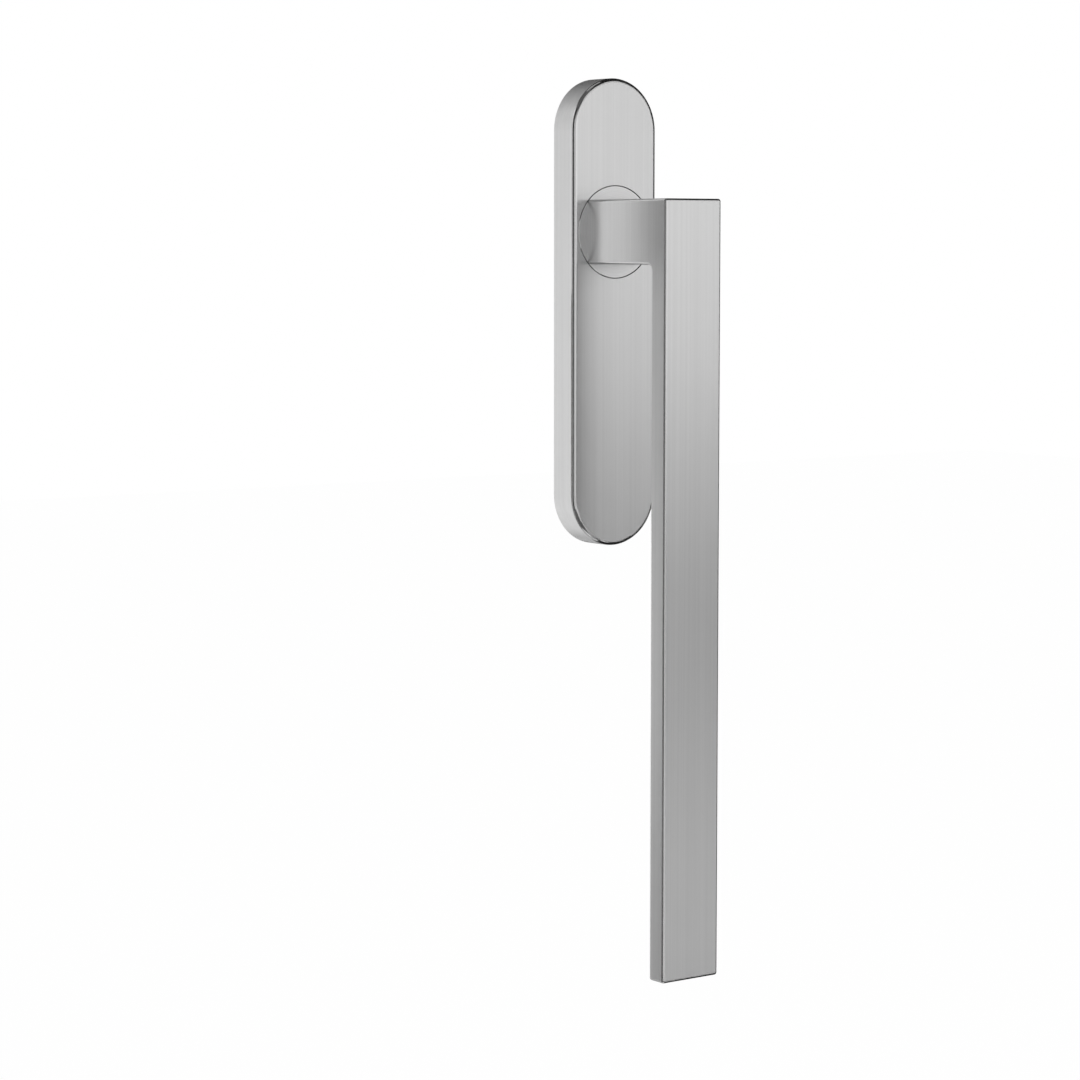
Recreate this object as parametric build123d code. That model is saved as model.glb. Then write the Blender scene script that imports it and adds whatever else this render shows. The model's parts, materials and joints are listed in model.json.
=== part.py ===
from build123d import *
import os
from math import asin, cos, degrees, hypot, radians, sin

# A lift and slide door handle: a flat bar on a short neck, turning in a stadium backplate.
#
# Every piece is drawn as it sits on the door: x to the right, y up and z out of the door,
# in millimetres, with the origin where the spindle's axis meets the door's face.
# Each is written standing up, with +Z up and the bar on the -Y side.

# The lever: neck and bar, ground from flat stainless section
bar_width = 33.4
bar_thickness = 11.0
bar_drop = 355.6
bar_standoff = 49.5
neck_height = 30.8
edge_round = 1.3
palm_fillet = 3.0

# The backplate's cover
cover_depth = 16.0
cover_above_axis = 73.6
cover_below_axis = 151.9
cover_wall = 2.0
cover_edge_round = 2.2
cover_inner_round = 1.0
disc_gap = 0.3
disc_thickness = 4.0
disc_chamfer = 0.25
bore_ledge = 0.4

# The carrier under the cover, die-cast
carrier_fit = 0.3
carrier_floor = 4.0
carrier_rim = 2.0
carrier_rim_height = 9.0
rib_height = 8.0
rib_thickness = 2.0
rib_spacing = 22.0
rib_offset = 8.0
screw_boss_radius = 8.5
end_block_width = 13.0
end_block_length = 9.0
end_block_height = 11.5

# The bearing
bush_wall = 2.0
bush_flange_width = 1.35
bush_flange = 1.2
running_clearance = 0.05
slide_washer_thickness = 1.2
spring_height = 1.2
spring_thickness = 0.5
thrust_washer_thickness = 1.0
washer_clearance = 0.15
ring_thickness = 1.5
ring_width = 3.2
ring_groove_depth = 0.75
ring_groove_play = 0.1
ring_opening = 28.0
ring_lug_radius = 2.3
ring_lug_hole = 2.0
ring_lug_inset = 0.5
journal_shoulder = 0.7
door_clearance = 0.6
lug_clearance = 0.8

# The half turn and its stop
turn_range = 180.0
stop_pin_diameter = 3.0
stop_pin_chamfer = 0.3
stop_pin_clearance = 0.15
stop_web = 1.0
stop_relief_depth = 2.4

# Every screw's chamfered tip and hexagon socket, as shares of its diameter and its key
tip_chamfer_share = 0.125
socket_depth_share = 0.65

# The spindle and its set screw
spindle_size = 10.0
spindle_clearance = 0.05
spindle_reach = 28.0
spindle_chamfer = 1.0
spindle_screw_diameter = 6.0
spindle_screw_length = 8.0
spindle_screw_key = 3.0
spindle_beyond_screw = 1.5

# Screws between hub and lever: four, on the flats of the square hole
hub_screw_diameter = 4.0
hub_screw_head = 7.0
hub_screw_head_height = 2.8
hub_screw_key = 2.5
hub_screw_length = 12.0
hub_screw_grip = 6.0
hub_screw_count = 4
hub_web = 0.9
hole_clearance = 0.2
thread_runout = 1.5
socket_web = 1.0

# Fixing to the door
fixing_spacing = 80.0
fixing_screw_diameter = 6.0
fixing_screw_head = 12.0
fixing_screw_key = 4.0
fixing_screw_length = 40.0
fixing_thread_length = 18.0
fixing_shank_diameter = 5.3
sleeve_diameter = 12.0
sleeve_spigot_diameter = 10.0
sleeve_reach = 10.0
sleeve_depth = 5.0
sleeve_chamfer = 0.6

# Set screws between carrier and cover
cover_screw_diameter = 4.0
cover_screw_length = 8.0
cover_screw_key = 2.0
cover_screw_height = 7.0
cover_screw_inset = 0.5

# Bearing radii, from the square spindle outwards
square_half = spindle_size / 2 + spindle_clearance
counterbore_radius = hub_screw_head / 2 + hole_clearance
hub_screw_circle = square_half + hub_web + counterbore_radius
groove_radius = hub_screw_circle + counterbore_radius + hub_web
journal_radius = groove_radius + ring_groove_depth
bush_bore_radius = journal_radius + running_clearance
bush_outer_radius = bush_bore_radius + bush_wall
flange_radius = bush_outer_radius + bush_flange_width
stop_pin_radius = stop_pin_diameter / 2
stop_circle = flange_radius + 2 * stop_pin_clearance + stop_pin_radius
boss_radius = stop_circle + stop_pin_radius + stop_web
ring_outer_radius = groove_radius + ring_width
recess_radius = ring_outer_radius + ring_lug_radius + lug_clearance

# The disc just covers the neck's corners and the stop, and the cover's bore clears both
neck_corner = (bar_width / 2 - edge_round, neck_height / 2 - edge_round)
neck_corner_radius = hypot(*neck_corner) + edge_round
disc_radius = max(neck_corner_radius, stop_circle + stop_pin_radius)
cover_bore_radius = disc_radius + disc_gap
carrier_half_width = max(boss_radius, cover_bore_radius + bore_ledge - carrier_fit)
cover_half_width = carrier_half_width + carrier_fit + cover_wall

# Heights above the door's face
disc_back = cover_depth - disc_thickness
bush_flange_top = disc_back - running_clearance
boss_top = bush_flange_top - bush_flange
ring_seat = door_clearance + journal_shoulder
thrust_washer_seat = ring_seat + ring_thickness
spring_seat = thrust_washer_seat + thrust_washer_thickness
slide_washer_seat = spring_seat + spring_height + running_clearance
recess_depth = slide_washer_seat + slide_washer_thickness
hub_screw_seat = cover_depth - hub_screw_grip
hub_screw_tip = hub_screw_seat + hub_screw_length
hub_thread_end = hub_screw_tip + thread_runout
spindle_screw_height = hub_thread_end + socket_web + spindle_screw_diameter / 2
spindle_end = spindle_screw_height + spindle_screw_diameter / 2 + spindle_beyond_screw
bar_back = cover_depth + bar_standoff
bar_front = bar_back + bar_thickness
lever_top = neck_height / 2

# Where the two fixing screws, and the two set screws at the cover's ends, sit
fixing_places = {"upper": fixing_spacing / 2, "lower": -fixing_spacing / 2}
end_places = {"upper": (cover_above_axis, 1), "lower": (-cover_below_axis, -1)}


def stadium(half_width, above, below):
    """An upright slot outline: two half circles joined by straight sides."""
    straight = above + below - 2 * half_width
    with BuildSketch() as outline:
        with Locations((0, (above - below) / 2)):
            SlotCenterToCenter(straight, 2 * half_width, rotation=90)
    return outline.sketch


def tube(inner_radius, outer_radius, start, end):
    """A plain ring or sleeve about the spindle's axis, from one height to another."""
    with BuildPart() as ring:
        with BuildSketch(Plane.XY.offset(start)):
            Circle(outer_radius)
            Circle(inner_radius, mode=Mode.SUBTRACT)
        extrude(amount=end - start)
    return ring.part


def cover_inset(inset):
    """The cover's outline drawn in by a wall or a clearance."""
    return stadium(cover_half_width - inset, cover_above_axis - inset, cover_below_axis - inset)


def set_screw(diameter, length, key):
    """A headless screw along +z with a chamfered tip and a hexagon socket in its other end."""
    with BuildPart() as screw:
        Cylinder(diameter / 2, length, align=(Align.CENTER, Align.CENTER, Align.MIN))
        chamfer(screw.edges().group_by(Axis.Z)[-1], diameter * tip_chamfer_share)
        with BuildSketch():
            RegularPolygon(key / 2, 6, major_radius=False)
        extrude(amount=key * socket_depth_share, mode=Mode.SUBTRACT)
    return screw.part


def cover_plate():
    """Drawn shell, open to the door, with the disc's bore and a hole for each set screw."""
    with BuildPart() as cover:
        add(cover_inset(0))
        extrude(amount=cover_depth)
        fillet(cover.edges().group_by(Axis.Z)[-1], cover_edge_round)
        with BuildPart(mode=Mode.PRIVATE) as hollow:
            add(cover_inset(cover_wall))
            extrude(amount=cover_depth - cover_wall)
            fillet(hollow.edges().group_by(Axis.Z)[-1], cover_inner_round)
        add(hollow.part, mode=Mode.SUBTRACT)
        with BuildSketch(Plane.XY.offset(cover_depth)):
            Circle(cover_bore_radius)
        extrude(amount=-2 * cover_wall, mode=Mode.SUBTRACT)
        for end, outward in end_places.values():
            with Locations(Location((0, end, cover_screw_height), (-90 * outward, 0, 0))):
                Cylinder(cover_screw_diameter / 2 + hole_clearance, 3 * cover_wall, mode=Mode.SUBTRACT)
    return cover.part


def rib_rows():
    """Heights on the door of the cross ribs, evenly spaced below the lower screw's boss."""
    first = fixing_places["lower"] - screw_boss_radius
    last = -cover_below_axis + cover_wall + end_block_length
    count = int((first - last) // rib_spacing)
    return [first - (number + 1) * (first - last) / (count + 1) for number in range(count)]


def base_plate():
    """Die-cast carrier: floor, rim, ribs, bearing boss, screw bosses and blocks for set screws."""
    inset = cover_wall + carrier_fit
    reach = cover_half_width - inset
    with BuildPart() as carrier:
        add(cover_inset(inset))
        extrude(amount=carrier_rim_height)
        with BuildSketch(Plane.XY.offset(carrier_floor)):
            add(cover_inset(inset + carrier_rim))
        extrude(amount=carrier_rim_height, mode=Mode.SUBTRACT)

        with BuildPart(mode=Mode.PRIVATE) as inside:
            with BuildSketch():
                for side in (-rib_offset, rib_offset):
                    with Locations((side, (cover_above_axis - cover_below_axis) / 2)):
                        Rectangle(rib_thickness, cover_above_axis + cover_below_axis - 2 * inset)
                for row in rib_rows():
                    with Locations((0, row)):
                        Rectangle(2 * reach, rib_thickness)
            extrude(amount=rib_height)
            with BuildSketch():
                Circle(boss_radius)
                with Locations(*[(0, place) for place in fixing_places.values()]):
                    Circle(screw_boss_radius)
            extrude(amount=boss_top)
            with BuildSketch():
                for end, outward in end_places.values():
                    with Locations((0, end - outward * (inset + end_block_length / 2))):
                        Rectangle(end_block_width, end_block_length)
            extrude(amount=end_block_height)
        with BuildPart(mode=Mode.PRIVATE) as envelope:
            add(cover_inset(inset))
            extrude(amount=cover_depth)
        add(inside.part & envelope.part)
        add(carrier_holes(), mode=Mode.SUBTRACT)
    return carrier.part


def carrier_holes():
    """The carrier's bearing bore, ring recess, pin hole, screw holes and set screw threads."""
    screw_places = [(0, place) for place in fixing_places.values()]
    with BuildPart() as holes:
        with BuildSketch():
            Circle(bush_outer_radius)
            with Locations((0, stop_circle)):
                Circle(stop_pin_radius)
            with Locations(*screw_places):
                Circle(fixing_screw_diameter / 2 + hole_clearance)
        extrude(amount=cover_depth)
        with BuildSketch():
            Circle(recess_radius)
        extrude(amount=recess_depth)
        with BuildSketch():
            with Locations(*screw_places):
                Circle(sleeve_spigot_diameter / 2)
        extrude(amount=sleeve_depth)
        head_radius = fixing_screw_head / 2
        with Locations(*[(x, y, boss_top) for x, y in screw_places]):
            Cone(0, head_radius, head_radius, align=(Align.CENTER, Align.CENTER, Align.MAX))
        for end, outward in end_places.values():
            with Locations(Location((0, end, cover_screw_height), (-90 * outward, 0, 0))):
                Cylinder(cover_screw_diameter / 2, 2 * (cover_screw_length + cover_wall))
    return holes.part


def bearing_bush():
    """Plastic bush with a flange, on which the disc's back runs."""
    sleeve = tube(bush_bore_radius, bush_outer_radius, recess_depth, bush_flange_top)
    return sleeve + tube(bush_bore_radius, flange_radius, boss_top, bush_flange_top)


def slide_washer():
    """Plastic washer on the back of the boss."""
    return tube(journal_radius + washer_clearance, flange_radius, slide_washer_seat, recess_depth)


def stop_pin():
    """Dowel pressed into the boss, standing in the relief behind the disc."""
    length = disc_back + stop_relief_depth - stop_pin_clearance - recess_depth
    with BuildPart() as pin:
        with Locations((0, stop_circle, recess_depth)):
            Cylinder(stop_pin_radius, length, align=(Align.CENTER, Align.CENTER, Align.MIN))
        chamfer(pin.edges().group_by(Axis.Z)[-1], stop_pin_chamfer)
    return pin.part


def support_sleeve(place):
    """Steel sleeve with a spigot pressed into the carrier's back, reaching into the door."""
    bore = fixing_screw_diameter / 2 + hole_clearance
    with BuildPart() as sleeve:
        add(tube(bore, sleeve_diameter / 2, -sleeve_reach, 0))
        rim = sleeve.edges().group_by(Axis.Z)[0].sort_by(SortBy.RADIUS)[-1]
        chamfer(rim, sleeve_chamfer)
        add(tube(bore, sleeve_spigot_diameter / 2, 0, sleeve_depth))
    return Pos(0, place) * sleeve.part


def fixing_screw(place):
    """Countersunk machine screw with its head flush in the carrier's boss."""
    radius = fixing_screw_diameter / 2
    shank_radius = fixing_shank_diameter / 2
    head_radius = fixing_screw_head / 2
    tip = boss_top - fixing_screw_length
    thread_end = tip + fixing_thread_length
    tip_chamfer = fixing_screw_diameter * tip_chamfer_share
    with BuildPart() as screw:
        with BuildSketch(Plane.XZ):
            with BuildLine():
                Polyline(
                    (0, tip),
                    (radius - tip_chamfer, tip),
                    (radius, tip + tip_chamfer),
                    (radius, thread_end),
                    (shank_radius, thread_end),
                    (shank_radius, boss_top - head_radius + shank_radius),
                    (head_radius, boss_top),
                    (0, boss_top),
                    close=True,
                )
            make_face()
        revolve(axis=Axis.Z)
        with BuildSketch(Plane.XY.offset(boss_top)):
            RegularPolygon(fixing_screw_key / 2, 6, major_radius=False)
        extrude(amount=-fixing_screw_key * socket_depth_share, mode=Mode.SUBTRACT)
    return Pos(0, place) * screw.part


def cover_screw(end, outward):
    """Set screw wound outwards from the carrier into the cover's wall."""
    outer = end - outward * cover_screw_inset
    screw = set_screw(cover_screw_diameter, cover_screw_length, cover_screw_key)
    return Location((0, outer, cover_screw_height), (90 * outward, 0, 0)) * screw


def lever():
    """Neck and bar in one, with the spindle's pocket and the screws' threads in the neck."""
    with BuildPart() as body:
        with BuildSketch(Plane.YZ) as profile:
            with BuildLine():
                Polyline(
                    (lever_top, cover_depth),
                    (lever_top, bar_front),
                    (-bar_drop, bar_front),
                    (-bar_drop, bar_back),
                    (lever_top - neck_height, bar_back),
                    (lever_top - neck_height, cover_depth),
                    close=True,
                )
            make_face()
            inside_corner = profile.vertices().sort_by_distance((lever_top - neck_height, bar_back))[0]
            fillet(inside_corner, palm_fillet)
        extrude(amount=bar_width / 2, both=True)
        root = body.faces().filter_by(Axis.Z).sort_by(Axis.Z)[0]
        fillet(body.edges() - root.edges(), edge_round)

        with BuildSketch(Plane.XY.offset(cover_depth)):
            Rectangle(2 * square_half, 2 * square_half)
        extrude(amount=spindle_end - cover_depth + hole_clearance, mode=Mode.SUBTRACT)
        with BuildSketch(Plane.XY.offset(cover_depth)):
            with PolarLocations(hub_screw_circle, hub_screw_count):
                Circle(hub_screw_diameter / 2)
        extrude(amount=hub_thread_end - cover_depth, mode=Mode.SUBTRACT)
        with BuildSketch(Plane.XZ):
            with Locations((0, spindle_screw_height)):
                Circle(spindle_screw_diameter / 2)
        extrude(amount=neck_height, mode=Mode.SUBTRACT)
    return body.part


def hub():
    """Turned disc and journal with the ring's groove, square bore, screw holes and stop relief."""
    groove_top = ring_seat + ring_thickness + ring_groove_play
    with BuildPart() as turned:
        with BuildSketch(Plane.XZ):
            with BuildLine():
                Polyline(
                    (0, door_clearance),
                    (journal_radius - disc_chamfer, door_clearance),
                    (journal_radius, door_clearance + disc_chamfer),
                    (journal_radius, ring_seat),
                    (groove_radius, ring_seat),
                    (groove_radius, groove_top),
                    (journal_radius, groove_top),
                    (journal_radius, disc_back),
                    (disc_radius, disc_back),
                    (disc_radius, cover_depth - disc_chamfer),
                    (disc_radius - disc_chamfer, cover_depth),
                    (0, cover_depth),
                    close=True,
                )
            make_face()
        revolve(axis=Axis.Z)
        with BuildSketch():
            Rectangle(2 * square_half, 2 * square_half)
            with PolarLocations(hub_screw_circle, hub_screw_count):
                Circle(hub_screw_diameter / 2 + hole_clearance)
        extrude(amount=cover_depth, mode=Mode.SUBTRACT)
        with BuildSketch():
            with PolarLocations(hub_screw_circle, hub_screw_count):
                Circle(counterbore_radius)
        extrude(amount=hub_screw_seat, mode=Mode.SUBTRACT)
        add(stop_relief(), mode=Mode.SUBTRACT)
    return turned.part


def stop_relief():
    """Half a turn milled out of the disc's back rim for the stop pin, open at the rim."""
    inner = stop_circle - stop_pin_radius - stop_pin_clearance
    outer = disc_radius + disc_gap
    spare = degrees(asin((stop_pin_radius + stop_pin_clearance) / stop_circle))
    with BuildPart() as relief:
        with BuildSketch(Plane.XZ):
            with Locations((inner, disc_back)):
                Rectangle(outer - inner, stop_relief_depth, align=Align.MIN)
        revolve(axis=Axis.Z, revolution_arc=turn_range + 2 * spare)
    start = 90 - turn_range - spare
    return Rot(0, 0, start) * relief.part


def hub_screw(number):
    """Low-head socket screw through the hub into the neck, its head towards the door."""
    angle = radians(360 * number / hub_screw_count)
    with BuildPart() as screw:
        Cylinder(hub_screw_head / 2, hub_screw_head_height, align=(Align.CENTER, Align.CENTER, Align.MAX))
        Cylinder(hub_screw_diameter / 2, hub_screw_length, align=(Align.CENTER, Align.CENTER, Align.MIN))
        chamfer(screw.edges().group_by(Axis.Z)[-1], hub_screw_diameter * tip_chamfer_share)
        with BuildSketch(Plane.XY.offset(-hub_screw_head_height)):
            RegularPolygon(hub_screw_key / 2, 6, major_radius=False)
        extrude(amount=hub_screw_key * socket_depth_share, mode=Mode.SUBTRACT)
    place = (hub_screw_circle * cos(angle), hub_screw_circle * sin(angle), hub_screw_seat)
    return Pos(*place) * screw.part


def spindle():
    """Square drive spindle from the neck through the hub into the door."""
    with BuildPart() as square:
        with BuildSketch(Plane.XY.offset(-spindle_reach)):
            Rectangle(spindle_size, spindle_size)
        extrude(amount=spindle_reach + spindle_end)
        ends = square.edges().group_by(Axis.Z)
        chamfer(ends[0] + ends[-1], spindle_chamfer)
    return square.part


def spindle_screw():
    """Set screw from under the neck, its tip on the spindle's flat."""
    screw = set_screw(spindle_screw_diameter, spindle_screw_length, spindle_screw_key)
    start = -spindle_size / 2 - spindle_screw_length
    return Location((0, start, spindle_screw_height), (-90, 0, 0)) * screw


def disc_spring():
    """Dished spring washer: its inner edge on the steel washer, its outer edge forward."""
    inner = journal_radius + washer_clearance
    rise = spring_height - spring_thickness
    with BuildPart() as spring:
        with BuildSketch(Plane.XZ):
            with BuildLine():
                Polyline(
                    (inner, spring_seat),
                    (flange_radius, spring_seat + rise),
                    (flange_radius, spring_seat + spring_height),
                    (inner, spring_seat + spring_thickness),
                    close=True,
                )
            make_face()
        revolve(axis=Axis.Z)
    return spring.part


def thrust_washer():
    """Steel washer that the retaining ring bears on."""
    return tube(journal_radius + washer_clearance, flange_radius, thrust_washer_seat, spring_seat)


def retaining_ring():
    """Open ring in the journal's groove, with a drilled lug at each end for the pliers."""
    opening_width = 2 * ring_outer_radius * sin(radians(ring_opening / 2))
    lug_circle = ring_outer_radius - ring_lug_inset
    lug_angle = ring_opening / 2 + degrees(ring_lug_radius / lug_circle)
    lugs = [
        (side * lug_circle * sin(radians(lug_angle)), lug_circle * cos(radians(lug_angle)))
        for side in (-1, 1)
    ]
    with BuildPart() as ring:
        with BuildSketch(Plane.XY.offset(ring_seat)):
            Circle(ring_outer_radius)
            with Locations(*lugs):
                Circle(ring_lug_radius)
            Circle(groove_radius + running_clearance, mode=Mode.SUBTRACT)
            with Locations((0, ring_outer_radius)):
                Rectangle(opening_width, 2 * ring_width, mode=Mode.SUBTRACT)
            with Locations(*lugs):
                Circle(ring_lug_hole / 2, mode=Mode.SUBTRACT)
        extrude(amount=ring_thickness)
    return ring.part


def pieces():
    """Every piece of the handle by name."""
    made = {
        "cover_plate": cover_plate(),
        "base_plate": base_plate(),
        "bearing_bush": bearing_bush(),
        "slide_washer": slide_washer(),
        "stop_pin": stop_pin(),
        "lever": lever(),
        "hub": hub(),
        "spindle": spindle(),
        "spindle_screw": spindle_screw(),
        "disc_spring": disc_spring(),
        "thrust_washer": thrust_washer(),
        "retaining_ring": retaining_ring(),
    }
    for number in range(hub_screw_count):
        made[f"hub_screw_{number + 1}"] = hub_screw(number)
    for name, place in fixing_places.items():
        made[f"support_sleeve_{name}"] = support_sleeve(place)
        made[f"fixing_screw_{name}"] = fixing_screw(place)
    for name, (end, outward) in end_places.items():
        made[f"cover_screw_{name}"] = cover_screw(end, outward)
    return made


def main():
    os.makedirs("parts", exist_ok=True)
    for name, piece in pieces().items():
        standing = Plane.XZ.location * piece
        standing.label = name
        export_step(standing, f"parts/{name}.step")


main()
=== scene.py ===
"""A lift and slide door handle in satin stainless steel: finishes, threaded screws and studio."""

import json
from math import cos, radians, sin, sqrt

import bpy
from bpy.props import FloatProperty, FloatVectorProperty, IntProperty, PointerProperty
from mathutils import Vector
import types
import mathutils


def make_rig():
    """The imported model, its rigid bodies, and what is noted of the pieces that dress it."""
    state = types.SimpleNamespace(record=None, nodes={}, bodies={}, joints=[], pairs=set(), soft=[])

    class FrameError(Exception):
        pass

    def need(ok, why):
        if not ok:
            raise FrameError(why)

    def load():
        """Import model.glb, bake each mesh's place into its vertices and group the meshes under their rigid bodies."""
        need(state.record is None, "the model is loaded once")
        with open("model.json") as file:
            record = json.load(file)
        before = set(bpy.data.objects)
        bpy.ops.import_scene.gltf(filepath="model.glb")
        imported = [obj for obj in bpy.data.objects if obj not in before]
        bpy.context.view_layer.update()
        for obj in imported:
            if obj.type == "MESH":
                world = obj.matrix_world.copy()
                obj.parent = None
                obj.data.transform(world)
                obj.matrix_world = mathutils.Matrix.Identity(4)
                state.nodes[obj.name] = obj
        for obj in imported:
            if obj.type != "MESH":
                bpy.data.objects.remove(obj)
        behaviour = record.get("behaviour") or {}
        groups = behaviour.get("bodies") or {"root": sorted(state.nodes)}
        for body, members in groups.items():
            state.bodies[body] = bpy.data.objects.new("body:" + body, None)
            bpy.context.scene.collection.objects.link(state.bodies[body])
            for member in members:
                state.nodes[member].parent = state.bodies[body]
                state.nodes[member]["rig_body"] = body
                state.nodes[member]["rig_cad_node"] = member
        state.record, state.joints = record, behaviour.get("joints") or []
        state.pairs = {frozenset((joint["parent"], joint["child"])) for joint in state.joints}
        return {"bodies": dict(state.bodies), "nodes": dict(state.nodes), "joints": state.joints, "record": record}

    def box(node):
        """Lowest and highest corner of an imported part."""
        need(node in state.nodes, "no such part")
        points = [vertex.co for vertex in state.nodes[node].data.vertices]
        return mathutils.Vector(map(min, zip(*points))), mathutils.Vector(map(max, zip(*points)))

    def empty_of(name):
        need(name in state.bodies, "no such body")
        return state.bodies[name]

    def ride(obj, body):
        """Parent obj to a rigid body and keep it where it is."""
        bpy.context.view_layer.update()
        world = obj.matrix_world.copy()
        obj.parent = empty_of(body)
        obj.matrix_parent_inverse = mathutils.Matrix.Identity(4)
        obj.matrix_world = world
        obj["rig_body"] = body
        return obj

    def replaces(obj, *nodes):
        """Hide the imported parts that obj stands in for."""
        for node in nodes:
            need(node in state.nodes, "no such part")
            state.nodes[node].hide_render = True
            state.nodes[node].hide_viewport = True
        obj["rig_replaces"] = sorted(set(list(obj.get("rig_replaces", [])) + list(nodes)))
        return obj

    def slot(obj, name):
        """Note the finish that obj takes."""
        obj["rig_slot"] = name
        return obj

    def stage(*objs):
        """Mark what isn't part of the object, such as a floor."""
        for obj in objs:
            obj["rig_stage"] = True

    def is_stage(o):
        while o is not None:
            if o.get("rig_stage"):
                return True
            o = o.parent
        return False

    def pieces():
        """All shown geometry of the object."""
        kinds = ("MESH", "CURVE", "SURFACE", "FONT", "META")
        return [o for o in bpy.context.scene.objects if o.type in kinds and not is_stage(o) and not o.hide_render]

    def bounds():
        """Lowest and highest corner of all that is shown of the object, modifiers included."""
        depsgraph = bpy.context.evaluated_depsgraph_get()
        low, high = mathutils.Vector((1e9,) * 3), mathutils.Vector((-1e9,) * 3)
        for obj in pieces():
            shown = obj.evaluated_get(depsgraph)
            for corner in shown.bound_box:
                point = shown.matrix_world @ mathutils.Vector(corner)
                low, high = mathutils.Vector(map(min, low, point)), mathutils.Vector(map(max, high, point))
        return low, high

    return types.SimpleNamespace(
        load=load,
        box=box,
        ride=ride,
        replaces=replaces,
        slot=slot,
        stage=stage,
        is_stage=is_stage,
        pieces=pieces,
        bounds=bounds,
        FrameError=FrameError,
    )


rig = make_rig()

bl_info = {
    "name": "Lift and slide door handle",
    "version": (1, 0, 0),
    "blender": (4, 5, 0),
    "location": "3D View > Sidebar > Door handle",
    "description": "Finishes, threaded screws and a plain studio for a lift and slide door handle",
    "category": "Object",
}

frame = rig.load()
cad_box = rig.bounds()

FIXING_SCREWS = ("fixing_screw_upper", "fixing_screw_lower")

# The fixing screws' faces and thread: rows of faces to each turn, the share of a pitch that the
# flat root and one flank take up, and the tip's radius as a share of the root's
ROWS_PER_TURN = 10.0
FLAT_ROOT, FLANK = 0.1, 0.32
TIP_SHARE = 0.92
# The screw's outline, worked out in steps from its sizes and from where a point of a cylinder of
# unit radius lies: each step has its name, what it does, and its numbers, sizes or earlier steps
SCREW_STEPS = (
    ("turns", "DIVIDE", "Length", "Pitch"),
    ("rows", "MULTIPLY", "turns", ROWS_PER_TURN),
    ("half length", "MULTIPLY", "Length", 0.5),
    ("depth", "SUBTRACT", "half length", "Z"),
    # The thread's flanks rise and fall once in each pitch, and its crests and roots are flat
    ("angle", "ARCTAN2", "Y", "X"),
    ("part turn", "DIVIDE", "angle", radians(360)),
    ("turns down", "DIVIDE", "depth", "Pitch"),
    ("phase", "ADD", "turns down", "part turn"),
    ("wave", "PINGPONG", "phase", 0.5),
    ("past root", "SUBTRACT", "wave", FLAT_ROOT),
    ("flank", "DIVIDE", "past root", FLANK),
    ("tooth", "SUBTRACT", "Thread radius", "Root radius"),
    ("threaded", "MULTIPLY_ADD", "flank", "tooth", "Root radius"),
    # The thread runs out into the shank over one pitch
    ("thread start", "SUBTRACT", "Length", "Thread length"),
    ("past start", "SUBTRACT", "depth", "thread start"),
    ("run-in", "DIVIDE", "past start", "Pitch"),
    ("rise", "SUBTRACT", "threaded", "Shank radius"),
    ("rod", "MULTIPLY_ADD", "rise", "run-in", "Shank radius"),
    # The tip is chamfered, and the head is a cone of 90 degrees
    ("to tip", "SUBTRACT", "Length", "depth"),
    ("tip radius", "MULTIPLY", "Root radius", TIP_SHARE),
    ("chamfer", "ADD", "tip radius", "to tip"),
    ("chamfered", "MINIMUM", "rod", "chamfer"),
    ("cone", "SUBTRACT", "Head radius", "depth"),
    ("outline", "MAXIMUM", "chamfered", "cone"),
    ("new x", "MULTIPLY", "X", "outline"),
    ("new y", "MULTIPLY", "Y", "outline"),
    ("new z", "MULTIPLY", "depth", -1.0),
    # The socket's hexagon stands half in the head
    ("hexagon height", "MULTIPLY", "Socket depth", 2.0),
)
# The steps whose result is held between 0 and 1
HELD_STEPS = ("flank", "run-in")

# The studio in metres: half the floor's side, the lamp's side and place, the camera's sensor in
# millimetres, and how much of the floor's white doesn't depend on the light on it
FLOOR_HALF = 6.0
KEY_SIZE = 1.2
KEY_PLACE = (0.1, -1.5, 0.6)
SENSOR_WIDTH = 36.0
FLOOR_WHITE = 0.9
# Satin steel looks like what it mirrors, so each face, side and round has a card of its own tone
# that it mirrors towards the camera. Where two cards overlap, one stands 5 to 20 mm nearer.
# Their places in metres: the distance of the bent ones and how low they reach, the heights of the
# flat ones over and under the handle, and the plane of those that stand beside it
FAR, NEAR = 1.2, 1.0
FOOT = -0.64
OVER, UNDER = 0.9, -0.635
BESIDE = -0.006
# The flat faces that make up one bent card
BENDS = 24
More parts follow.
